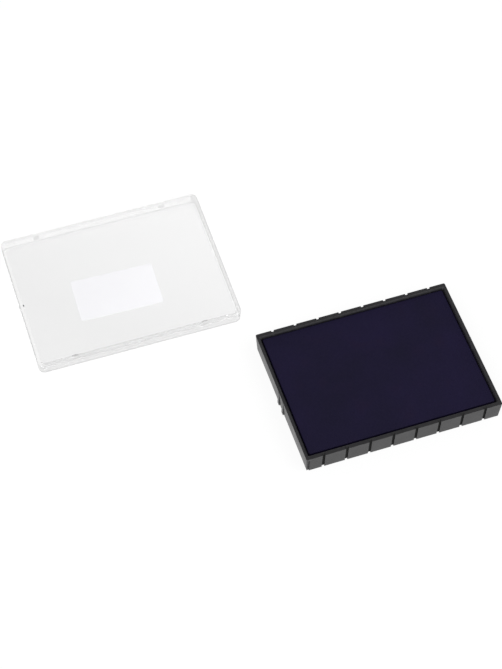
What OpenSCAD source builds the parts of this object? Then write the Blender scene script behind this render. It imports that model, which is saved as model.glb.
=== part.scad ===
// Replacement ink pad for a self-inking stamp: a moulded tray holding a
// cloth-covered, ink-soaked pad, with its clear protective cap lying open
// side up beside it. Millimetres, +Z up. The origin is the centre of the
// tray's base; the tray's long side runs along X.

/* [Tray] */
// Length of the tray across its rim
tray_length = 68; // [66:0.5:72]
// Width of the tray across its rim
tray_width = 51.5; // [48:0.5:56]
// Height of the tray, base to rim
tray_height = 7.5; // [6.8:0.1:9]
// How far each outer wall leans in from rim to base
tray_draft = 0.45; // [0.3:0.05:0.6]
// Corner radius of the tray in plan
tray_corner = 0.5; // [0.4:0.1:1]
// Thickness of the tray's floor
floor_thickness = 1.2; // [1:0.1:1.5]
// Width of the rim's flat top on the two short sides
end_rim = 0.85; // [0.7:0.05:1.1]
// Width of the rim's flat top on the two long sides
side_rim = 1.3; // [1.1:0.05:1.5]
// How far the pocket's bevelled mouth leans in below the rim
mouth_lean = 0.5; // [0.3:0.05:0.6]
// Depth of the bevelled mouth below the rim
mouth_depth = 0.8; // [0.6:0.1:1.2]
// How far each inner wall leans in from the mouth to the floor
pocket_draft = 0.1; // [0.05:0.05:0.2]

/* [Tray grooves and ribs] */
// Grooves down each long side
groove_count = 8; // [4:1:8]
// Distance between neighbouring grooves
groove_pitch = 8; // [7:0.25:8.5]
// Width of a groove
groove_width = 0.9; // [0.8:0.1:1.4]
// Depth of a groove into the long wall
groove_depth = 0.5; // [0.4:0.1:0.8]
// Distance between the two locating ribs on a short side
rib_spacing = 4; // [3:0.5:8]
// Width of a locating rib
rib_width = 1.4; // [1:0.1:2]
// How far the ribs stop below the rim
rib_top_gap = 0.8; // [0.4:0.1:2]

/* [Corner slot] */
// Distance of the narrow slot from the tray's middle, towards one end of the near side
slot_place = 33.15; // [33:0.05:33.2]
// Width of the slot
slot_width = 0.65; // [0.5:0.05:0.7]
// Depth of the slot into the long wall
slot_depth = 0.35; // [0.2:0.05:0.5]

/* [Pad] */
// How far the cloth lies below the rim
pad_drop = 0.8; // [0.5:0.1:1.2]
// Clearance between the pad and the pocket at the floor, were the pad glued in centrally
pad_clearance = 0.35; // [0.3:0.05:0.4]
// How far off centre the pad is glued in, along both sides
pad_shift = 0.22; // [0:0.02:0.26]
// Corner radius of the pad in plan
pad_corner = 0.6; // [0.6:0.1:1.2]
// Thickness of the adhesive sheet under the pad
adhesive_thickness = 0.15; // [0.1:0.05:0.3]
// Thickness of the soft foam under the cloth
foam_thickness = 1.4; // [1:0.1:2]
// Thickness of the cloth cover
cloth_thickness = 0.4; // [0.3:0.05:0.6]

/* [Cap] */
// Wall thickness of the cap at its rim
cap_wall = 1.2; // [1:0.1:1.4]
// Gap between the cap's wall and the tray's rim, each side
cap_clearance = 0.4; // [0.35:0.05:0.5]
// Height of the cap without its label
cap_height = 4.5; // [4:0.1:6]
// Thickness of the cap's plate
cap_plate = 1; // [0.8:0.1:1.2]
// How far each cap wall leans in from rim to plate
cap_draft = 0.3; // [0.2:0.05:0.35]
// Corner radius of the cap in plan
cap_corner = 2; // [1.8:0.1:2.6]
// Distance of each snap nub from the middle of its long wall
nub_offset = 22.7; // [20:0.1:26]
// Length of a snap nub
nub_length = 2.4; // [1.6:0.1:4]
// How far a snap nub stands out of the wall
nub_proud = 0.45; // [0.3:0.05:0.5]

/* [Cap label] */
// Length of the paper label
label_length = 29; // [20:0.5:40]
// Width of the paper label
label_width = 17; // [10:0.5:24]
// Thickness of the paper label
label_thickness = 0.1; // [0.1:0.05:0.2]
// Label centre from the cap's centre, along the cap's length
label_x = -1.9; // [-4:0.1:4]
// Label centre from the cap's centre, along the cap's width
label_y = -2.4; // [-4:0.1:4]
// How far the label is stuck on askew
label_turn = -1.5; // [-3:0.5:3]

/* [Layout] */
// Cap centre from the tray's centre, along the tray's length
cap_x = -70; // [-90:1:-70]
// Cap centre from the tray's centre, along the tray's width
cap_y = 65; // [60:1:90]
// How far the loose cap is turned from the tray's direction
cap_turn = -0.5; // [-3:0.5:3]

/* [Hidden] */
$fn = 32;
slab = 0.01;       // thin slabs that a tapered block is stretched between
past = 1;          // how far a cut runs past the face that it opens
nub_radius = 0.8;
label_corner = 0.8;
pocket_corner = 0.4;
slot_top_gap = 0.8;  // how far the slot stops below the rim

mouth_length = tray_length - 2 * end_rim;
mouth_width = tray_width - 2 * side_rim;
pocket_length = mouth_length - 2 * mouth_lean;
pocket_width = mouth_width - 2 * mouth_lean;
pocket_depth = tray_height - mouth_depth - floor_thickness;
draft_angle = atan(tray_draft / tray_height);

pad_length = pocket_length - 2 * (pocket_draft + pad_clearance);
pad_width = pocket_width - 2 * (pocket_draft + pad_clearance);
core_length = pad_length - 2 * cloth_thickness;
core_width = pad_width - 2 * cloth_thickness;
core_corner = pad_corner - cloth_thickness;
pad_top = tray_height - pad_drop;
core_base = floor_thickness + adhesive_thickness;
foam_base = pad_top - cloth_thickness - foam_thickness;

cap_length = tray_length + 2 * (cap_wall + cap_clearance);
cap_width = tray_width + 2 * (cap_wall + cap_clearance);
cap_inside_length = cap_length - 2 * cap_wall;
cap_inside_width = cap_width - 2 * cap_wall;
cap_depth = cap_height - cap_plate;

module rounded_outline(length, width, radius) {
  square([length - 2 * radius, width], center = true);
  square([length, width - 2 * radius], center = true);
  for (x = [-1, 1], y = [-1, 1])
    translate([x * (length / 2 - radius), y * (width / 2 - radius)]) circle(radius);
}

module rounded_block(length, width, height, radius) {
  linear_extrude(height) rounded_outline(length, width, radius);
}

// A block with full size at its top that leans in by inset on every side at its bottom.
module tapered_block(length, width, height, radius, inset) {
  hull() {
    translate([0, 0, height - slab]) rounded_block(length, width, slab, radius);
    rounded_block(length - 2 * inset, width - 2 * inset, slab, radius);
  }
}

module groove_row() {
  first = -(groove_count - 1) / 2 * groove_pitch;
  for (i = [0 : groove_count - 1])
    translate([first + i * groove_pitch - groove_width / 2, -tray_width / 2, tray_height])
      rotate([draft_angle, 0, 0])
        translate([0, -past, -tray_height - past])
          cube([groove_width, past + groove_depth, tray_height + 2 * past]);
}

// Narrow upright slot beside one end of the near side, following that wall's draft.
module corner_slot() {
  translate([-slot_place - slot_width / 2, -tray_width / 2, tray_height])
    rotate([draft_angle, 0, 0])
      translate([0, -past, -tray_height - past])
        cube([slot_width, past + slot_depth, tray_height + past - slot_top_gap]);
}

module locating_ribs() {
  inner = tray_length / 2 - end_rim / 2 - tray_draft;
  for (side = [0, 1], y = [-1, 1])
    mirror([side, 0, 0])
      translate([-tray_length / 2, y * rib_spacing / 2 - rib_width / 2, 0])
        cube([tray_length / 2 - inner, rib_width, tray_height - rib_top_gap]);
}

module tray() {
  color([0.16, 0.16, 0.17])
    difference() {
      union() {
        tapered_block(tray_length, tray_width, tray_height, tray_corner, tray_draft);
        locating_ribs();
      }
      translate([0, 0, floor_thickness])
        tapered_block(pocket_length, pocket_width, pocket_depth + slab, pocket_corner, pocket_draft);
      mouth_scale = (mouth_depth + past) / mouth_depth;
      translate([0, 0, tray_height - mouth_depth])
        tapered_block(mouth_length + 2 * mouth_lean * (mouth_scale - 1),
                      mouth_width + 2 * mouth_lean * (mouth_scale - 1),
                      mouth_depth + past, pocket_corner, mouth_lean * mouth_scale);
      for (side = [0, 1]) mirror([0, side, 0]) groove_row();
      corner_slot();
    }
}

// The pad was glued in a little off centre.
module at_pad(height) {
  translate([pad_shift, pad_shift, height]) children();
}

module adhesive_sheet() {
  color([0.85, 0.82, 0.7])
    at_pad(floor_thickness)
      rounded_block(pad_length, pad_width, adhesive_thickness, pad_corner);
}

module felt_core() {
  color([0.3, 0.27, 0.42])
    at_pad(core_base)
      rounded_block(core_length, core_width, foam_base - core_base, core_corner);
}

module foam_layer() {
  color([0.22, 0.2, 0.36])
    at_pad(foam_base)
      rounded_block(core_length, core_width, foam_thickness, core_corner);
}

// Top sheet with its edges turned down round the core.
module cloth_cover() {
  color([0.12, 0.11, 0.2])
    difference() {
      at_pad(core_base)
        rounded_block(pad_length, pad_width, pad_top - core_base, pad_corner);
      at_pad(core_base - past)
        rounded_block(core_length, core_width, pad_top - cloth_thickness - core_base + past, core_corner);
    }
}

module at_cap() {
  translate([cap_x, cap_y, 0]) rotate([0, 0, cap_turn]) children();
}

// Snap nubs low on the rim, inside the long walls.
module snap_nubs() {
  reach = cap_inside_width / 2 - nub_proud + nub_radius;
  for (side = [0, 1], x = [-1, 1])
    mirror([0, side, 0])
      translate([x * nub_offset - nub_length / 2, -reach, cap_height - nub_radius - 0.1])
        rotate([0, 90, 0]) cylinder(h = nub_length, r = nub_radius);
}

module cap() {
  color([0.86, 0.9, 0.93, 0.4])
    at_cap() translate([0, 0, label_thickness])
      difference() {
        tapered_block(cap_length, cap_width, cap_height, cap_corner, cap_draft);
        difference() {
          inner_scale = (cap_depth + past) / cap_depth;
          translate([0, 0, cap_plate])
            tapered_block(cap_inside_length + 2 * cap_draft * (inner_scale - 1),
                          cap_inside_width + 2 * cap_draft * (inner_scale - 1),
                          cap_depth + past, cap_corner - cap_wall / 2, cap_draft * inner_scale);
          snap_nubs();
        }
      }
}

module cap_label() {
  color([0.97, 0.97, 0.98])
    at_cap() translate([label_x, label_y, 0]) rotate([0, 0, label_turn])
      rounded_block(label_length, label_width, label_thickness, label_corner);
}

tray();
adhesive_sheet();
felt_core();
foam_layer();
cloth_cover();
cap();
cap_label();
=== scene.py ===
"""Replacement ink pad for a self-inking stamp: a black tray, the inked pad glued
into it, and the clear cap that protects the pad, lying open side up beside it."""
import math

import bpy
from mathutils import Matrix, Vector, noise


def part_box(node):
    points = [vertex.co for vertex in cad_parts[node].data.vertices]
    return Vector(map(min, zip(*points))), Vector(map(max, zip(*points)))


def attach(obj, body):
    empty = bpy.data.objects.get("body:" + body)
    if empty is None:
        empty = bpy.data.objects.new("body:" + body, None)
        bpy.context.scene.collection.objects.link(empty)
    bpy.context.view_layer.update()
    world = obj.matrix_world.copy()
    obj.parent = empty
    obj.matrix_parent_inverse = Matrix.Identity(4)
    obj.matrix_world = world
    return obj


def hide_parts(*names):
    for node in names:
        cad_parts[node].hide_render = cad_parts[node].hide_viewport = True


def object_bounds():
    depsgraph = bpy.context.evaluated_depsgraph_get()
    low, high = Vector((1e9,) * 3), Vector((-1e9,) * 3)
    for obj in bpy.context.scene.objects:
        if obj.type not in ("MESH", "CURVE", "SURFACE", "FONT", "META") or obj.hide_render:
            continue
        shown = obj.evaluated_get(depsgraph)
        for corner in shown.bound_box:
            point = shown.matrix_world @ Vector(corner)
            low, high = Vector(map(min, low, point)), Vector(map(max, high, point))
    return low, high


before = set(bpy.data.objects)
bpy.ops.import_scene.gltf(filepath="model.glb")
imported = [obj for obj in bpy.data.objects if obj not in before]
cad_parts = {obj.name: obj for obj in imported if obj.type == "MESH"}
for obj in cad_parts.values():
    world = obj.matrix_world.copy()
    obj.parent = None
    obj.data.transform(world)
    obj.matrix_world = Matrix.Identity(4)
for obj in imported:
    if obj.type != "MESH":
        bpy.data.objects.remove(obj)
cad_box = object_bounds()

# ---------------------------------------------------------------- tray
# One injection moulding in black ABS, open at the top. Its walls lean in towards the
# base so that it leaves the mould; eight grooves run down each long side and two plumb
# ribs stand on each short side, where the stamp's pad holder guides it.
mm = 0.001
tray_low, tray_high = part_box("tray")
tray_length = tray_high.x - tray_low.x
tray_width = tray_high.y - tray_low.y
tray_height = tray_high.z
tray_draft = 0.45 * mm
tray_corner = 0.5 * mm
end_rim = 0.85 * mm
side_rim = 1.3 * mm
floor_top = 1.2 * mm
mouth_lean = 0.5 * mm         # the pocket's mouth is bevelled
mouth_depth = 0.8 * mm
pocket_draft = 0.1 * mm
pocket_corner = 0.4 * mm
groove_pitch = 8 * mm
groove_places = [(i - 3.5) * groove_pitch for i in range(8)]
groove_width = 0.9 * mm
groove_depth = 0.5 * mm
rib_places = [-2 * mm, 2 * mm]
rib_width = 1.4 * mm
rib_top = tray_height - 0.8 * mm
least_rib = 0.003 * mm        # the trace of a rib that its points need above its top
slot_place = -33.15 * mm      # a narrow upright slot beside one corner
slot_width = 0.65 * mm
slot_depth = 0.35 * mm
slot_top = tray_height - 0.8 * mm
pin_radius = 1.8 * mm         # the marks of the mould's ejector pins, under the floor
pin_depth = 0.12 * mm
base_edge = 0.07 * mm         # radius where wall and base meet
rim_edge = 0.06 * mm          # radius of the rim's two edges
floor_edge = 0.2 * mm         # radius where the pocket's wall and floor meet
base_border = 0.25 * mm       # width of the base's worn border, inside its rounded edge
rim_border = 0.15 * mm        # width of the rim's worn borders
upright_edge = 0.05 * mm      # radius of the grooves' and ribs' upright edges
upright_steps = 2
corner_steps = 6
edge_steps = 3


def rounded_loop(corners):
    """Points round an outline whose corners are (x, y, radius, steps); 0 steps is one point."""
    loop = []
    for i, (x, y, radius, steps) in enumerate(corners):
        here = Vector((x, y))
        if steps == 0:
            loop.append(here)
            continue
        back = (Vector(corners[i - 1][:2]) - here).normalized()
        on = (Vector(corners[(i + 1) % len(corners)][:2]) - here).normalized()
        half = back.angle(on) / 2
        centre = here + (back + on).normalized() * radius / math.sin(half)
        first = here + back * radius / math.tan(half) - centre
        last = here + on * radius / math.tan(half) - centre
        start = math.atan2(first.y, first.x)
        turn = math.remainder(math.atan2(last.y, last.x) - start, 2 * math.pi)
        for k in range(steps + 1):
            angle = start + turn * k / steps
            loop.append(centre + radius * Vector((math.cos(angle), math.sin(angle))))
    return loop


def edge_rows(radius, steps=edge_steps):
    """Pairs (away, along) round a quarter circle, from its first face to its second."""
    angles = [math.pi / 2 * k / steps for k in range(steps + 1)]
    return [(radius * (1 - math.sin(a)), radius * (1 - math.cos(a))) for a in angles]


def tray_loop(half_length, half_width, corner, groove=None, rib=None):
    """The tray's outline: near side and right side, then the same again turned half round.
    Without a groove or a rib, as many points lie along the plain wall instead."""
    last_point = 4 * (upright_steps + 1) - 1
    spread = [k / last_point - 0.5 for k in range(last_point + 1)]
    corners = []
    for middle in groove_places:
        if groove:
            half, depth = groove
            inner = depth - half_width
            for x, y in ((-half, -half_width), (-half, inner), (half, inner), (half, -half_width)):
                corners.append((middle + x, y, upright_edge, upright_steps))
        else:
            corners += [(middle + groove_width * s, -half_width, 0, 0) for s in spread]
    corners.append((half_length, -half_width, corner, corner_steps))
    for middle in rib_places:
        if rib:
            half, proud = rib
            outer = half_length + proud
            radius = min(upright_edge, 0.4 * proud)
            for x, y in ((half_length, -half), (outer, -half), (outer, half), (half_length, half)):
                corners.append((x, middle + y, radius, upright_steps))
        else:
            corners += [(half_length, middle + rib_width * s, 0, 0) for s in spread]
    corners.append((half_length, half_width, corner, corner_steps))
    corners += [(-x, -y, radius, steps) for x, y, radius, steps in corners]
    return rounded_loop(corners)


def outside_loop(z, inset):
    """The tray's outside at height z, drawn in by inset where an edge is rounded."""
    lean = tray_draft * (1 - z / tray_height)
    return tray_loop(
        tray_length / 2 - lean - inset,
        tray_width / 2 - lean - inset,
        tray_corner - inset,
        groove=(groove_width / 2 + inset, groove_depth),
        rib=(rib_width / 2 - inset, lean if z < rib_top else least_rib),
    )


def pocket_loop(z, inset):
    """The pocket's wall at height z, drawn in by inset, or out where inset is negative."""
    below = tray_height - z
    lean = mouth_lean * min(1, below / mouth_depth)
    lean += pocket_draft * max(0, below - mouth_depth) / (tray_height - mouth_depth - floor_top)
    return tray_loop(
        tray_length / 2 - end_rim - lean - inset,
        tray_width / 2 - side_rim - lean - inset,
        pocket_corner - inset,
    )


def skin(rows, **shares):
    """A closed surface over rows of (loop, z), each loop with equally many points, with a
    flat face at both ends. Each kind of share is a list with one value for each row."""
    count = len(rows[0][0])
    points = [Vector((p.x, p.y, z)) for loop, z in rows for p in loop]
    faces = [list(reversed(range(count)))]
    for first in range(0, (len(rows) - 1) * count, count):
        for i in range(count):
            j = (i + 1) % count
            faces.append([first + i, first + j, first + count + j, first + count + i])
    faces.append(list(range(len(points) - count, len(points))))
    values = {name: [v for v in per_row for _ in range(count)] for name, per_row in shares.items()}
    return points, faces, values


def piece(name, points, faces, material, values=None, crease=40):
    """A mesh object in its finish, smooth but for edges that turn more than crease degrees."""
    mesh = bpy.data.meshes.new(name)
    mesh.from_pydata(points, [], faces)
    for kind, numbers in (values or {}).items():
        mesh.attributes.new(kind, "FLOAT", "POINT").data.foreach_set("value", numbers)
    mesh.shade_smooth()
    mesh.set_sharp_from_angle(angle=math.radians(crease))
    mesh.materials.append(material)
    made = bpy.data.objects.new(name, mesh)
    bpy.context.scene.collection.objects.link(made)
    return made


def keep_flats_flat(made):
    """Leans the smooth shading on the large faces, so that rounded edges don't tint them."""
    modifier = made.modifiers.new("flat_faces", "WEIGHTED_NORMAL")
    modifier.keep_sharp = True


def settle(made):
    """Makes the modifiers' result the object's own mesh."""
    depsgraph = bpy.context.evaluated_depsgraph_get()
    result = bpy.data.meshes.new_from_object(made.evaluated_get(depsgraph))
    made.modifiers.clear()
    made.data = result


def cut_away(made, rows):
    """Takes the solid over rows of (loop, z) out of a piece."""
    points, faces, _ = skin(rows)
    cutter = piece("cutter", points, faces, made.data.materials[0])
    cut = made.modifiers.new("cut", "BOOLEAN")
    cut.operation, cut.solver, cut.object = "DIFFERENCE", "EXACT", cutter
    settle(made)
    bpy.data.objects.remove(cutter)


def press_marks(made, places, radius, top, bottom):
    """Sinks shallow round marks, left by the mould's ejector pins, into a flat face."""
    sides = 40
    for x, y in places:
        turns = [math.tau * k / sides for k in range(sides)]
        ring = [Vector((x + radius * math.cos(t), y + radius * math.sin(t))) for t in turns]
        cut_away(made, [(ring, bottom), (ring, top)])


def cut_slot(made):
    """Cuts the narrow slot, whose back follows the near wall's lean."""
    rows = []
    for z in (-1 * mm, slot_top):
        back = -tray_width / 2 + tray_draft * (1 - z / tray_height) + slot_depth
        left, right, front = slot_place - slot_width / 2, slot_place + slot_width / 2, -tray_width
        corners = [(left, front), (right, front), (right, back), (left, back)]
        rows.append(([Vector(p) for p in corners], z))
    cut_away(made, rows)


def new_finish(name):
    """A new material and its Principled shader."""
    material = bpy.data.materials.new(name)
    material.use_nodes = True
    return material, material.node_tree.nodes["Principled BSDF"]


def node(material, kind, inputs=None, **settings):
    """A shader node; each input takes a number, a colour or another node's output."""
    made = material.node_tree.nodes.new("ShaderNode" + kind)
    for name, value in settings.items():
        setattr(made, name, value)
    for key, value in (inputs or {}).items():
        if isinstance(value, bpy.types.NodeSocket):
            material.node_tree.links.new(value, made.inputs[key])
        else:
            made.inputs[key].default_value = value
    return made


def place_on(material):
    """Where a point lies on the piece, in metres."""
    return node(material, "TexCoord").outputs["Object"]


def grain(material, size, detail=3.0, rough=0.5):
    """Cloudy noise from 0 to 1 whose patches are about size metres across."""
    inputs = {"Vector": place_on(material), "Scale": 1 / size, "Detail": detail, "Roughness": rough}
    return node(material, "TexNoise", inputs).outputs["Fac"]


def ranged(material, value, low, high, to_low, to_high):
    """value between low and high, stretched to lie between to_low and to_high."""
    inputs = {"Value": value, "From Min": low, "From Max": high, "To Min": to_low, "To Max": to_high}
    return node(material, "MapRange", inputs).outputs["Result"]


def worked_out(material, operation, first, second=0.0):
    """The result of a sum on one value or two."""
    return node(material, "Math", {0: first, 1: second}, operation=operation).outputs[0]


def product(material, first, second):
    """Two values multiplied."""
    return worked_out(material, "MULTIPLY", first, second)


def share_at(material, name):
    """The value from 0 to 1 that the mesh carries at each of its points under that name."""
    return node(material, "Attribute", attribute_name=name).outputs["Fac"]


def blended(material, share, first, second):
    """One colour going over to another as share goes from 0 to 1."""
    made = node(material, "Mix", {0: share, 6: first, 7: second}, data_type="RGBA")
    return made.outputs[2]


def join(material, socket, shader_input):
    """Feeds a shader's input."""
    material.node_tree.links.new(socket, shader_input)


def raised(material, shader, height, depth, strength=1.0):
    """Turns a height from 0 to 1 into relief of that depth on the shader."""
    bump = node(material, "Bump", {"Strength": strength, "Distance": depth, "Height": height})
    join(material, bump.outputs["Normal"], shader.inputs["Normal"])


def black_moulding():
    """Black ABS with a fine spark-eroded grain, edges rubbed a little paler by handling, dull
    grooves darkened with painted shade, and violet-black ink that has crept up the pocket's wall."""
    material, shader = new_finish("black_moulding")
    clouds = grain(material, 5 * mm)
    fine = grain(material, 0.16 * mm, detail=2.0)
    worn, inky, groove_shade_and_matt = [share_at(material, name) for name in ("worn", "inky", "groove_shade_and_matt")]
    shade = ranged(material, clouds, 0.3, 0.7, 0.0, 1.0)
    plain = blended(material, shade, (0.0115, 0.0110, 0.0125, 1), (0.0152, 0.0147, 0.0160, 1))
    rubbed = product(material, worn, ranged(material, grain(material, 1.2 * mm), 0.35, 0.7, 0.1, 1.0))
    edged = blended(material, rubbed, plain, (0.040, 0.040, 0.042, 1))
    crept = ranged(material, grain(material, 0.9 * mm, detail=4.0), 0.38, 0.62, 0.0, 1.0)
    stained = blended(material, product(material, inky, crept), edged, (0.0060, 0.0045, 0.0140, 1))
    # Painted shade: the backs of the grooves are darkened, where shade falls in them.
    sunk = blended(material, groove_shade_and_matt, stained, (0.0050, 0.0048, 0.0050, 1))
    join(material, sunk, shader.inputs["Base Color"])
    gloss = ranged(material, clouds, 0.3, 0.7, 0.33, 0.42)
    dull = worked_out(material, "MAXIMUM", gloss, product(material, groove_shade_and_matt, 0.95))
    join(material, dull, shader.inputs["Roughness"])
    shader.inputs["IOR"].default_value = 1.45
    raised(material, shader, fine, 0.012 * mm, 0.5)
    return material


def tray_rows():
    """Rows up the outside, over the rim, down the pocket's wall and on to its floor, with
    how rubbed and how inky each one is."""
    rows = [(outside_loop(0, base_edge + base_border), 0, 0, 0)]
    for away, along in edge_rows(base_edge):
        rows.append((outside_loop(along, away), along, 0.7, 0))
    for z in (0.6 * mm, rib_top - 0.05 * mm, rib_top, tray_height - 0.5 * mm):
        rows.append((outside_loop(z, 0), z, 0, 0))
    for along, away in edge_rows(rim_edge):
        z = tray_height - along
        rows.append((outside_loop(z, away), z, 0.9, 0))
    rows.append((outside_loop(tray_height, rim_border), tray_height, 0.1, 0))
    rows.append((pocket_loop(tray_height, -rim_border), tray_height, 0.1, 0))
    for away, along in edge_rows(rim_edge):
        z = tray_height - along
        rows.append((pocket_loop(z, -away), z, 0.3, 0))
    for z, inky in ((tray_height - 0.4 * mm, 0.4), (tray_height - mouth_depth, 0.5), (4 * mm, 1)):
        rows.append((pocket_loop(z, 0), z, 0, inky))
    for along, away in edge_rows(floor_edge):
        z = floor_top + along
        rows.append((pocket_loop(z, away), z, 0, 1))
    return rows


def groove_shares(points):
    """1 at the back of a groove, which handling never polishes and where shade is painted in, 0
    elsewhere.
    """
    shares = []
    for p in points:
        sunk = tray_width / 2 - tray_draft * (1 - p.z / tray_height) - abs(p.y)
        at_back = groove_depth / 2 < sunk < groove_depth + base_edge
        among_grooves = abs(p.x) < groove_places[-1] + groove_width
        shares.append(1.0 if at_back and among_grooves and p.z > 0 else 0.0)
    return shares


def rubbed_ribs(points, worn):
    """The same worn shares, but 1 on the ribs, which rub in the pad holder."""
    shares = []
    for p, share in zip(points, worn):
        across_rib = abs(abs(p.y) - rib_places[1]) < rib_width / 2 + 0.01 * mm
        on_end_wall = abs(p.x) > tray_length / 2 - tray_draft
        shares.append(1.0 if across_rib and on_end_wall and p.z <= rib_top else share)
    return shares


rows = tray_rows()
points, faces, values = skin(
    [row[:2] for row in rows], worn=[row[2] for row in rows], inky=[row[3] for row in rows]
)
values["worn"] = rubbed_ribs(points, values["worn"])
values["groove_shade_and_matt"] = groove_shares(points)
tray = piece("tray_moulding", points, faces, black_moulding(), values)
pin_places = [(x * 24 * mm, y * 16 * mm) for x in (-1, 0, 1) for y in (-1, 1)]
press_marks(tray, pin_places, pin_radius, top=pin_depth, bottom=-1 * mm)
cut_slot(tray)
keep_flats_flat(tray)
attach(tray, "pad")
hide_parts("tray")

# ---------------------------------------------------------------- adhesive sheet
# A die-cut double-sided sheet, cream film with tacky glue on both faces, laid on the
# tray's floor to hold the pad. Its cut edge is a little uneven.
fray_patch = 0.7 * mm         # how far apart a cut side's bumps and dips are


def side_points(length, width, corner, along, across):
    """A rounded rectangle whose long and short straight sides are in that many parts."""
    corners = []
    for turn in (1, -1):
        x, y = turn * length / 2, turn * width / 2
        for k in range(1, along):
            corners.append((-x + turn * (corner + (length - 2 * corner) * k / along), -y, 0, 0))
        corners.append((x, -y, corner, corner_steps))
        for k in range(1, across):
            corners.append((x, -y + turn * (corner + (width - 2 * corner) * k / across), 0, 0))
        corners.append((x, y, corner, corner_steps))
    return rounded_loop(corners)


def frayed(loop, z, size, reach):
    """Shifts each point of a loop in or out by up to reach, in patches of about size."""
    moved = []
    for p in loop:
        shift = noise.noise(Vector((p.x, p.y, z)) / size)
        moved.append(p + p.normalized() * shift * reach)
    return moved


def layer(name, node_name, material, corner, spacing, edge, unevenness, levels):
    """A flat layer that fills its CAD node, with rounded edges and uneven sides. Points lie
    about spacing apart round it, and its sides have that many levels of faces."""
    low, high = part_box(node_name)
    length, width = high.x - low.x, high.y - low.y
    middle = ((low + high) / 2).xy
    parts = (round(length / spacing), round(width / spacing))
    rows = []
    for away, along in edge_rows(edge):
        rows.append((low.z + along, away))
    for k in range(1, levels):
        rows.append((low.z + edge + (high.z - low.z - 2 * edge) * k / levels, 0))
    for along, away in edge_rows(edge):
        rows.append((high.z - along, away))
    loops = []
    for z, away in rows:
        inset = away + unevenness
        loop = side_points(length - 2 * inset, width - 2 * inset, corner, *parts)
        loops.append(([middle + p for p in frayed(loop, z, fray_patch, unevenness)], z))
    points, faces, _ = skin(loops)
    made = piece(name, points, faces, material, crease=60)
    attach(made, "pad")
    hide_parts(node_name)
    return made


def tacky_film():
    """Cream adhesive film, glossy, with trapped air as paler blotches."""
    material, shader = new_finish("tacky_film")
    blotches = ranged(material, grain(material, 3 * mm, detail=4.0), 0.4, 0.6, 0.0, 1.0)
    colour = blended(material, blotches, (0.50, 0.44, 0.30, 1), (0.66, 0.61, 0.46, 1))
    join(material, colour, shader.inputs["Base Color"])
    join(material, ranged(material, blotches, 0, 1, 0.18, 0.35), shader.inputs["Roughness"])
    raised(material, shader, blotches, 0.02 * mm, 0.4)
    return material


adhesive = layer(
    "adhesive_film", "adhesive_sheet", tacky_film(), corner=0.6 * mm,
    spacing=3 * mm, edge=0.03 * mm, unevenness=0.03 * mm, levels=1,
)

# ---------------------------------------------------------------- felt core
# A block of dense pressed felt, die-cut and soaked with violet ink. It is the pad's ink
# store, and its cut sides are fibrous.


def soaked_felt():
    """Pressed fibres, matted in every direction and dark with ink."""
    material, shader = new_finish("soaked_felt")
    fibres = node(
        material, "TexNoise",
        {"Vector": place_on(material), "Scale": 1 / (0.35 * mm), "Detail": 5.0, "Distortion": 2.5},
    ).outputs["Fac"]
    soak = grain(material, 9 * mm)
    dark = blended(material, soak, (0.020, 0.015, 0.055, 1), (0.036, 0.028, 0.085, 1))
    lit = blended(material, fibres, dark, (0.060, 0.050, 0.120, 1))
    join(material, lit, shader.inputs["Base Color"])
    shader.inputs["Roughness"].default_value = 0.85
    raised(material, shader, fibres, 0.15 * mm, 0.9)
    return material


felt = layer(
    "felt_block", "felt_core", soaked_felt(), corner=0.5 * mm,
    spacing=0.8 * mm, edge=0.12 * mm, unevenness=0.07 * mm, levels=5,
)

# ---------------------------------------------------------------- foam layer
# A thin sheet of fine open-cell foam between felt and cloth. It evens out the pressure
# of the stamp's die and carries the ink up to the cloth.


def soaked_foam():
    """Open cells wet with ink: paler cell walls, and hollows darkened with painted shade."""
    material, shader = new_finish("soaked_foam")
    cells = node(
        material, "TexVoronoi",
        {"Vector": place_on(material), "Scale": 1 / (0.3 * mm)}, feature="F1",
    ).outputs["Distance"]
    walls = ranged(material, cells, 0.15, 0.6, 0.0, 1.0)
    # Painted shade: the cells' hollows are darker than their raised walls.
    colour = blended(material, walls, (0.010, 0.008, 0.030, 1), (0.050, 0.042, 0.110, 1))
    join(material, colour, shader.inputs["Base Color"])
    shader.inputs["Roughness"].default_value = 0.6
    raised(material, shader, walls, 0.12 * mm, 0.9)
    return material


foam = layer(
    "foam_sheet", "foam_layer", soaked_foam(), corner=0.5 * mm,
    spacing=0.8 * mm, edge=0.3 * mm, unevenness=0.05 * mm, levels=3,
)

# ---------------------------------------------------------------- cloth cover
# A fine plain-woven polyester cloth, stretched over the foam, turned down all round and
# tucked between pad and pocket wall. Ink darkens it to a violet black.
cloth_low, cloth_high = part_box("cloth_cover")
cloth_length = cloth_high.x - cloth_low.x
cloth_width = cloth_high.y - cloth_low.y
cloth_thickness = 0.36 * mm
cloth_middle = ((cloth_low + cloth_high) / 2).xy
cloth_corner = 0.6 * mm
turn_down = 0.28 * mm         # how far in from its side the cloth starts to curve down
turn_steepness = 0.8          # 1 would bring the curve right round to plumb
top_gap = 0.04 * mm           # room for the swells below the pad's full height
broad_swell = 0.035 * mm
small_swell = 0.012 * mm
held_width = 2.5 * mm         # the border that the turned-down sides hold flat
hem_gap = 0.02 * mm           # how far the cloth's lower edge stays off the adhesive
left_bulge = 0.25 * mm
far_bulge = 0.12 * mm
bulge_reach = 4 * mm          # how far in from its side a bulge starts
pucker_depth = 0.07 * mm
thread_pitch = 0.34 * mm
fine_steps = [0, 0.02, 0.05, 0.09, 0.14, 0.2, 0.28, 0.42, 0.6, 0.85, 1.2, 1.7, 2.4, 3.2]
coarse_step = 1.2 * mm


def grid_lines(half):
    """Places across the cloth: close together near both sides and wider apart between."""
    near = [-half + step * mm for step in fine_steps]
    inner = -near[-1]
    count = round(2 * inner / coarse_step)
    middle = [-inner + 2 * inner * k / count for k in range(1, count)]
    return near + middle + [-x for x in reversed(near)]


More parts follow.
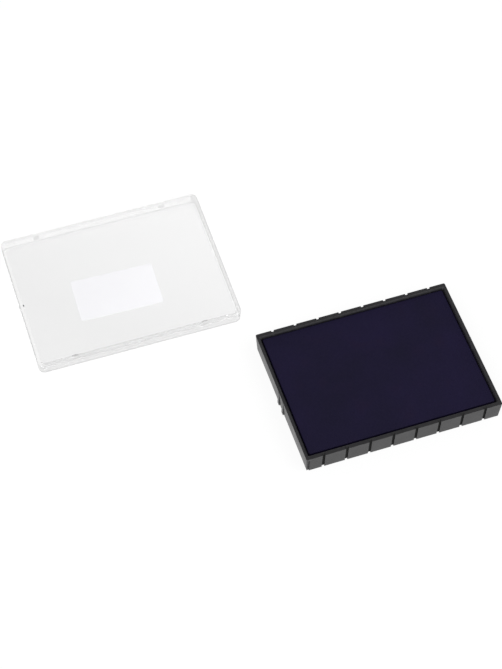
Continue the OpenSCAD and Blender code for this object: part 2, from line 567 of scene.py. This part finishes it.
def round_corner(x, y, half_length, half_width):
    """Moves a grid point near a corner so that the grid's outer edge follows a round corner,
    and says how far it then is from the cloth's side."""
    a = (abs(x) - half_length + cloth_corner) / cloth_corner
    b = (abs(y) - half_width + cloth_corner) / cloth_corner
    if a > 0 and b > 0:
        a, b = a * math.sqrt(1 - b * b / 2), b * math.sqrt(1 - a * a / 2)
        x = math.copysign(half_length + cloth_corner * (a - 1), x)
        y = math.copysign(half_width + cloth_corner * (b - 1), y)
        return x, y, cloth_corner * (1 - math.hypot(a, b))
    return x, y, cloth_corner * (1 - max(a, b))


def pulled_out(x, y, half_length, half_width):
    """Shifts a point outwards where the turned-down cloth bulges, at the left and far sides."""
    from_left, from_far = x + half_length, half_width - y
    x -= left_bulge * max(0.0, 1 - from_left / bulge_reach)
    y += far_bulge * max(0.0, 1 - from_far / bulge_reach)
    return x, y


def drawn_down(side):
    """How far the cloth has dropped at a distance from its side."""
    share = min(1.0, side / turn_down)
    return turn_steepness * turn_down * (1 - math.sqrt(1 - (1 - share) ** 2))


def cloth_top(x, y, side):
    """Height of the cloth: almost flat, faintly uneven where the foam pushes it up."""
    swell = noise.noise(Vector((x, y, 0)) / (11 * mm)) * broad_swell
    swell += noise.noise(Vector((x, y, 9)) / (3.5 * mm)) * small_swell
    free = min(1.0, side / held_width)
    return cloth_high.z - top_gap + swell * free - drawn_down(side)


def cloth_surface():
    """The outer face of the cloth: the top as a grid, then rows down the four sides."""
    half_length, half_width = cloth_length / 2, cloth_width / 2
    columns, lines = grid_lines(half_length), grid_lines(half_width)
    points, faces = [], []
    for y in lines:
        for x in columns:
            px, py, side = round_corner(x, y, half_length, half_width)
            px, py = pulled_out(px, py, half_length, half_width)
            points.append(Vector((px, py, cloth_top(px, py, max(0.0, side)))))
    wide, deep = len(columns), len(lines)
    for j in range(deep - 1):
        for i in range(wide - 1):
            corner = j * wide + i
            faces.append([corner, corner + 1, corner + wide + 1, corner + wide])
    ring = list(range(wide - 1))
    ring += [j * wide + wide - 1 for j in range(deep - 1)]
    ring += [(deep - 1) * wide + i for i in range(wide - 1, 0, -1)]
    ring += [j * wide for j in range(deep - 1, 0, -1)]
    sides = [points[i] for i in ring]
    drops = 7
    for level in range(1, drops + 1):
        share = level / drops
        start = len(points)
        for p in sides:
            pucker = noise.noise(Vector((p.x, p.y, 4)) / (1.6 * mm)) * pucker_depth
            inwards = min(0.0, pucker) * math.sin(math.pi * share)
            moved = p.xy + p.xy.normalized() * inwards
            z = p.z + (cloth_low.z + hem_gap - p.z) * share
            points.append(Vector((moved.x, moved.y, z)))
        below = list(range(start, len(points)))
        for i, low in enumerate(below):
            j = (i + 1) % len(below)
            faces.append([ring[i], low, below[j], ring[j]])
        ring = below
    return points, faces


def inked_weave():
    """Over-and-under threads whose crowns are lightened as a painted highlight, wet violet-black
    ink between them, and patches where the cloth has taken up a little more or less ink."""
    material, shader = new_finish("inked_weave")
    where = node(material, "SeparateXYZ", {0: place_on(material)})
    turn = math.pi / thread_pitch
    across, along = [
        worked_out(material, "SINE", product(material, where.outputs[axis], turn)) for axis in "XY"
    ]
    crossing = product(material, across, along)
    over = ranged(material, crossing, -1, 1, 0, 1)
    slub = grain(material, 0.9 * mm, detail=2.0)
    height = product(material, over, ranged(material, slub, 0.3, 0.7, 0.75, 1.0))
    taken_up = ranged(material, grain(material, 16 * mm, detail=4.0), 0.3, 0.7, 0.0, 1.0)
    ink = blended(material, taken_up, (0.0054, 0.0042, 0.0160, 1), (0.0078, 0.0052, 0.0245, 1))
    warm = ranged(material, grain(material, 7 * mm, detail=2.0), 0.55, 0.75, 0.0, 0.5)
    tinted = blended(material, warm, ink, (0.0092, 0.0048, 0.0195, 1))
    # Painted highlight: the threads' crowns are lightened, as if they caught the light.
    painted_crown_highlight = blended(material, product(material, over, 0.35), tinted, (0.0112, 0.0088, 0.0300, 1))
    join(material, painted_crown_highlight, shader.inputs["Base Color"])
    join(material, ranged(material, slub, 0.3, 0.7, 0.62, 0.78), shader.inputs["Roughness"])
    shader.inputs["Specular IOR Level"].default_value = 0.1
    raised(material, shader, height, 0.05 * mm, 0.35)
    return material


points, faces = cloth_surface()
points = [p + cloth_middle.to_3d() for p in points]
cloth = piece("cloth_sheet", points, faces, inked_weave(), crease=70)
thicken = cloth.modifiers.new("cloth_thickness", "SOLIDIFY")
thicken.thickness = cloth_thickness
thicken.offset = -1
settle(cloth)
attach(cloth, "pad")
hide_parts("cloth_cover")

# ---------------------------------------------------------------- cap
# A crystal polystyrene moulding that presses over the tray's rim to keep the ink moist.
# Four small nubs inside its long walls snap past the rim. It lies on its plate here.
cap_low, cap_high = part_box("cap")
cap_middle = (cap_low + cap_high) / 2
cap_turn = math.radians(-0.5)
cap_wall = 1.2 * mm
cap_clearance = 0.4 * mm
cap_length = tray_length + 2 * (cap_wall + cap_clearance)
cap_width = tray_width + 2 * (cap_wall + cap_clearance)
cap_height = cap_high.z - cap_low.z
cap_plate = 1.0 * mm
cap_draft = 0.3 * mm
cap_corner = 2.0 * mm
inner_corner = 1.4 * mm
cap_corner_steps = 8
plate_edge = 0.2 * mm         # radius round the plate's outer edge
lip_edge = 0.08 * mm          # radius of the rim's two edges
lip_below = 0.25 * mm         # the lip's painted shade fades out over this height
lip_across = 0.5 * mm         # and over this width
plate_fillet = 0.45 * mm      # radius where plate and walls meet inside
corner_room = 4 * mm          # more than a round corner takes up along a wall
nub_places = [-22.7 * mm, 22.7 * mm]
nub_half = 1.2 * mm
nub_below = 0.9 * mm          # nub's middle below the rim
nub_radius = 0.8 * mm
nub_proud = 0.45 * mm
nub_zone = 1.6 * mm           # how far down from the rim's edge the nubs' rows lie
nub_rows = 12
gate_place = 1.0 * mm         # the gate's place along the left wall
gate_half = 0.7 * mm
gate_rise = 0.8 * mm          # the gate's middle above the plate's outer face
gate_radius = 0.45 * mm
gate_proud = 0.2 * mm
cap_pin_radius = 1.5 * mm     # the ejector pins' marks on the plate
cap_pin_depth = 0.04 * mm
wall_band = 1.8 * mm          # a point this close to a side belongs to that side's wall
foot_height = 0.7 * mm        # painted shade darkens the foot of the walls up to here
foot_reach = 0.6 * mm
speck_place = (-34.1 * mm, gate_place, 1.1 * mm)   # dried ink on the left wall
cap_place = Matrix.Translation(Vector((cap_middle.x, cap_middle.y, cap_low.z)))
cap_place = cap_place @ Matrix.Rotation(cap_turn, 4, "Z")


def cap_loop(length, width, corner):
    """A rounded rectangle with extra points where the nubs and the gate are, closest
    together at a bump's two steep ends."""
    across_bump = [-1.0, -0.9, -0.7, -0.45, -0.15, 0.15, 0.45, 0.7, 0.9, 1.0]
    nubs = [middle + nub_half * s for middle in nub_places for s in across_bump]
    gates = [gate_place + gate_half * s for s in across_bump]
    x, y = length / 2, width / 2
    turn = (corner, cap_corner_steps)
    corners = [(p, -y, 0, 0) for p in nubs] + [(x, -y, *turn)]
    corners += [(x, p, 0, 0) for p in gates] + [(x, y, *turn)]
    corners += [(p, y, 0, 0) for p in reversed(nubs)] + [(-x, y, *turn)]
    corners += [(-x, p, 0, 0) for p in reversed(gates)] + [(-x, -y, *turn)]
    return rounded_loop(corners)


def dome(share):
    """A round bump's height, 1 in its middle and 0 from share 1 on."""
    return math.sqrt(1 - share * share) if abs(share) < 1 else 0.0


def with_nubs(loop, z):
    """Pushes an inner wall's points in where a nub stands out of it."""
    tall = dome((cap_height - nub_below - z) / nub_radius)
    moved = []
    for p in loop:
        near = min(nub_places, key=lambda place: abs(place - p.x))
        bulge = nub_proud * tall * dome((p.x - near) / nub_half)
        on_long_wall = abs(p.x) < cap_length / 2 - corner_room
        moved.append(Vector((p.x, p.y - math.copysign(bulge, p.y))) if on_long_wall else p)
    return moved


def with_gate(loop, z):
    """Pushes the outer wall out where the plastic was snapped off its feeding channel."""
    tall = dome((z - gate_rise) / gate_radius)
    moved = []
    for p in loop:
        stub = gate_proud * tall * dome((p.y - gate_place) / gate_half)
        on_left_wall = p.x < corner_room - cap_length / 2
        moved.append(Vector((p.x - stub, p.y)) if on_left_wall else p)
    return moved


def cap_rows():
    """Rows from the plate's outer face up the outside, over the rim, down the inside and on
    to the plate."""
    def outside(z, inset):
        lean = cap_draft * (1 - z / cap_height)
        loop = cap_loop(
            cap_length - 2 * (lean + inset), cap_width - 2 * (lean + inset), cap_corner - inset
        )
        return with_gate(loop, z), z

    def inside(z, inset):
        lean = cap_draft * (cap_height - z) / (cap_height - cap_plate)
        sunk = 2 * (cap_wall + lean + inset)
        loop = cap_loop(cap_length - sunk, cap_width - sunk, inner_corner - inset)
        return with_nubs(loop, z), z

    rows = [outside(along, away) for away, along in edge_rows(plate_edge, 4)]
    up_past_gate = (0.45, 0.6, 0.8, 1.0, 1.15, 1.25, 2.4, 3.4)
    rows += [outside(z * mm, 0) for z in up_past_gate]
    rows.append(outside(cap_height - lip_below, 0))
    rows += [outside(cap_height - along, away) for along, away in edge_rows(lip_edge)]
    rows.append(outside(cap_height, lip_across))
    rows += [inside(cap_height - along, -away) for away, along in edge_rows(lip_edge)]
    top = cap_height - lip_edge
    for k in range(1, nub_rows + 1):
        rows.append(inside(top - nub_zone * k / nub_rows, 0))
    rows.append(inside((cap_plate + plate_fillet + top - nub_zone) / 2, 0))
    rows += [inside(cap_plate + along, away) for along, away in edge_rows(plate_fillet, 5)]
    return rows


def painted_shade_shares(points):
    """How much painted shade darkens the plastic's edges, foot and nubs at each point, from 0
    for clear to 1. The near and right walls get more, as the far one lies against the light."""
    shares = []
    for p in points:
        a = abs(p.x) - cap_length / 2 + cap_corner
        b = abs(p.y) - cap_width / 2 + cap_corner
        to_side = cap_corner - (math.hypot(a, b) if a > 0 and b > 0 else max(a, b))
        far = p.y > cap_width / 2 - wall_band
        near = p.y < wall_band - cap_width / 2
        right = p.x > cap_length / 2 - wall_band
        on_rim = p.z > cap_height - 2 * lip_edge
        place = min(nub_places, key=lambda middle: abs(middle - p.x))
        tall = dome((cap_height - nub_below - p.z) / nub_radius) * dome((p.x - place) / nub_half)
        if 0 < p.z < foot_height and to_side < foot_reach:
            share = 0.5 if far else 0.8
        elif on_rim and to_side < 0.2 * cap_wall:
            share = 0 if far else 0.15 if near else 0.8
        elif on_rim and to_side > 0.8 * cap_wall:
            share = 0.4 if near else 0
        elif p.z > foot_height and to_side < cap_wall / 3:
            share = 0.45 if right else 0.3 if near else 0
        elif tall > 0.4 and to_side > cap_wall and b > 0:
            share = 0.5 if far else 1
        else:
            share = 0
        shares.append(share)
    return shares


def clear_styrene():
    """Crystal polystyrene: clear and glossy. Most light goes straight on through it, and
    its edges, foot and nubs are darkened with painted shade. The plate is a little greyer than the
    walls, and painted paler towards its far right. Lamps shine through it, so that it throws no solid
    block's shadow."""
    material, shader = new_finish("clear_styrene")
    shader.inputs["Base Color"].default_value = (0.97, 0.97, 0.97, 1)
    shader.inputs["Roughness"].default_value = 0.03
    shader.inputs["IOR"].default_value = 1.59
    shader.inputs["Transmission Weight"].default_value = 1.0
    waves = node(
        material, "TexNoise",
        {"Vector": place_on(material), "Scale": 1 / (7 * mm), "Detail": 1.0, "Distortion": 0.6},
    ).outputs["Fac"]
    raised(material, shader, waves, 0.02 * mm, 0.25)

    where = node(material, "SeparateXYZ", {0: place_on(material)})
    x, y, z = [where.outputs[axis] for axis in "XYZ"]
    # Painted light: the plate's tint grows paler towards its far right.
    diagonal = worked_out(material, "ADD", x, y)
    to_far_right = worked_out(material, "SUBTRACT", diagonal, cap_middle.x + cap_middle.y)
    painted_light_to_far_right = ranged(material, to_far_right, -25 * mm, 50 * mm, 0, 1)
    plate_tint = blended(material, painted_light_to_far_right, (0.920, 0.920, 0.920, 1), (0.980, 0.980, 0.980, 1))
    in_plate = ranged(material, z, 1.2 * mm, 1.5 * mm, 1, 0)
    tint = blended(material, in_plate, (0.978, 0.978, 0.978, 1), plate_tint)
    # Painted shade: the edges, foot, rim and nubs are tinted grey by these shares.
    edge = share_at(material, "edge")
    edged = blended(material, edge, tint, (0.68, 0.68, 0.68, 1))
    straight = node(material, "BsdfTransparent", {"Color": edged})
    plastic = node(
        material, "MixShader",
        {0: 0.75, 1: shader.outputs["BSDF"], 2: straight.outputs["BSDF"]},
    )

    away = node(
        material, "VectorMath",
        {0: place_on(material), 1: cap_place @ Vector(speck_place)}, operation="DISTANCE",
    ).outputs["Value"]
    speck = ranged(material, away, 0.36 * mm, 0.46 * mm, 1, 0)
    dried_ink = node(material, "BsdfDiffuse", {"Color": (0.006, 0.005, 0.010, 1)})
    spotted = node(material, "MixShader", {0: speck, 1: plastic.outputs[0], 2: dried_ink.outputs[0]})

    open_way = node(material, "BsdfTransparent", {"Color": (0.97, 0.97, 0.97, 1)})
    path = node(material, "LightPath")
    lit = node(
        material, "MixShader",
        {0: path.outputs["Is Shadow Ray"], 1: spotted.outputs[0], 2: open_way.outputs[0]},
    )
    both = node(
        material, "MixShader",
        {0: path.outputs["Is Diffuse Ray"], 1: lit.outputs[0], 2: open_way.outputs[0]},
    )
    output = material.node_tree.nodes["Material Output"]
    join(material, both.outputs[0], output.inputs["Surface"])
    return material


points, faces, _ = skin(cap_rows())
cap = piece("cap_moulding", points, faces, clear_styrene(), {"edge": painted_shade_shares(points)})
cap_pins = [(x * 27 * mm, y * 14.6 * mm) for x in (-1, 1) for y in (-1, 1)]
press_marks(cap, cap_pins, cap_pin_radius, top=2 * mm, bottom=cap_plate - cap_pin_depth)
cap.data.transform(cap_place)
keep_flats_flat(cap)
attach(cap, "cap")
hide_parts("cap")

# ---------------------------------------------------------------- cap label
# A plain white paper label stuck on the plate's outer face, a little askew. With the cap
# upside down it lies underneath, and its glued side shows through the clear plate.
label_low, label_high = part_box("cap_label")
label_middle = (label_low + label_high) / 2
label_length, label_width = 29 * mm, 17 * mm
label_turn = cap_turn + math.radians(-1.5)
label_corner = 0.8 * mm
label_edge = 0.02 * mm
label_gap = 0.01 * mm         # between the paper and the plate


def label_paper():
    """Smooth coated paper with a trace of its fibres. It glows a little blue, painted light that
    brightens it.
    """
    material, shader = new_finish("label_paper")
    fibres = node(
        material, "TexNoise",
        {"Vector": place_on(material), "Scale": 1 / (0.8 * mm), "Detail": 6.0, "Distortion": 1.5},
    ).outputs["Fac"]
    colour = blended(material, fibres, (0.91, 0.91, 0.93, 1), (0.95, 0.95, 0.96, 1))
    join(material, colour, shader.inputs["Base Color"])
    shader.inputs["Roughness"].default_value = 0.55
    # Painted light: a faint blue glow makes the label brighter.
    shader.inputs["Emission Color"].default_value = (0.94, 0.92, 1.0, 1)
    shader.inputs["Emission Strength"].default_value = 0.16
    raised(material, shader, fibres, 0.01 * mm, 0.4)
    return material


label_rows = [(along, away) for away, along in edge_rows(label_edge)]
label_rows += [(label_high.z - label_gap - along, away) for along, away in edge_rows(label_edge)]
label_loops = []
for z, away in label_rows:
    paper_length, paper_width = label_length - 2 * away, label_width - 2 * away
    paper = side_points(paper_length, paper_width, label_corner, along=12, across=8)
    label_loops.append((paper, z))
points, faces, _ = skin(label_loops)
label = piece("paper_label", points, faces, label_paper())
label_place = Matrix.Translation(Vector((label_middle.x, label_middle.y, 0)))
label.data.transform(label_place @ Matrix.Rotation(label_turn, 4, "Z"))
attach(label, "cap")
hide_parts("cap_label")

# ---------------------------------------------------------------- floor
# A large sheet of matt white card, just under the tray and the cap. It is lit softly
# from below, so that nothing on it throws a shadow.
floor_gap = 0.02 * mm
floor_reach = 3.0


def lit_card():
    """Matt white, with most of its brightness from the light that comes through it."""
    material, shader = new_finish("lit_card")
    shader.inputs["Base Color"].default_value = (0.12, 0.12, 0.12, 1)
    shader.inputs["Roughness"].default_value = 0.9
    shader.inputs["Specular IOR Level"].default_value = 0.0
    shader.inputs["Emission Color"].default_value = (1, 1, 1, 1)
    shader.inputs["Emission Strength"].default_value = 0.885
    return material


floor_corners = [(-1, -1), (1, -1), (1, 1), (-1, 1)]
floor_points = [(x * floor_reach, y * floor_reach, -floor_gap) for x, y in floor_corners]
floor = piece("floor_card", floor_points, [[0, 1, 2, 3]], lit_card())

# ---------------------------------------------------------------- lamps
# Two soft boxes stand in front, to the left and to the right. The white tent round them
# is bright near the table and dim overhead, which keeps the rim and the cloth dark.
world = bpy.data.worlds.new("white_tent")
bpy.context.scene.world = world
world.use_nodes = True
tent = node(world, "SeparateXYZ", {0: node(world, "TexCoord").outputs["Generated"]})
glow = ranged(world, tent.outputs["Z"], 0.35, 0.8, 1.0, 0.3)
join(world, glow, world.node_tree.nodes["Background"].inputs["Color"])


def soft_box(name, turn, rise, distance, size, watts):
    """A square area lamp aimed at the object from a compass turn and a rise in degrees."""
    lamp = bpy.data.lights.new(name, "AREA")
    lamp.energy = watts
    lamp.size = size
    made = bpy.data.objects.new(name, lamp)
    bpy.context.scene.collection.objects.link(made)
    a, e = math.radians(turn), math.radians(rise)
    towards = Vector((math.sin(a) * math.cos(e), -math.cos(a) * math.cos(e), math.sin(e)))
    middle = Vector(((cad_box[0].x + cad_box[1].x) / 2, (cad_box[0].y + cad_box[1].y) / 2, 0))
    made.location = middle + towards * distance
    made.rotation_euler = towards.to_track_quat("Z", "Y").to_euler()


soft_box("front_left_box", turn=-50, rise=55, distance=1.2, size=0.9, watts=6.3)
soft_box("front_right_box", turn=50, rise=50, distance=1.2, size=0.9, watts=5.3)

# ---------------------------------------------------------------- camera
# A long lens looks down on the pair from the front left, about two thirds of a metre away.
# The tray lies to the right of the middle of its view and below it.
view_turn, view_rise, view_roll = math.radians(-18.73), math.radians(55.55), math.radians(0.26)
view_distance = 649.5 * mm
aim_right, aim_down = 41.85 * mm, 15.67 * mm   # the tray's place in the view
film_width = 36.0             # in millimetres, like the lens
lens_length = 104.696

back = Vector((
    math.sin(view_turn) * math.cos(view_rise),
    -math.cos(view_turn) * math.cos(view_rise),
    math.sin(view_rise),
))
right = Vector((math.cos(view_turn), math.sin(view_turn), 0))
up = back.cross(right)
leaning_right = right * math.cos(view_roll) + up * math.sin(view_roll)
leaning_up = up * math.cos(view_roll) - right * math.sin(view_roll)
eye = back * view_distance - leaning_right * aim_right + leaning_up * aim_down

lens = bpy.data.cameras.new("camera")
lens.sensor_width = film_width
lens.lens = lens_length
lens.clip_start, lens.clip_end = 0.01, 20
camera = bpy.data.objects.new("camera", lens)
bpy.context.scene.collection.objects.link(camera)
camera.matrix_world = Matrix((
    (leaning_right.x, leaning_up.x, back.x, eye.x),
    (leaning_right.y, leaning_up.y, back.y, eye.y),
    (leaning_right.z, leaning_up.z, back.z, eye.z),
    (0, 0, 0, 1),
))
bpy.context.scene.camera = camera
bpy.context.scene.view_settings.view_transform = "Standard"
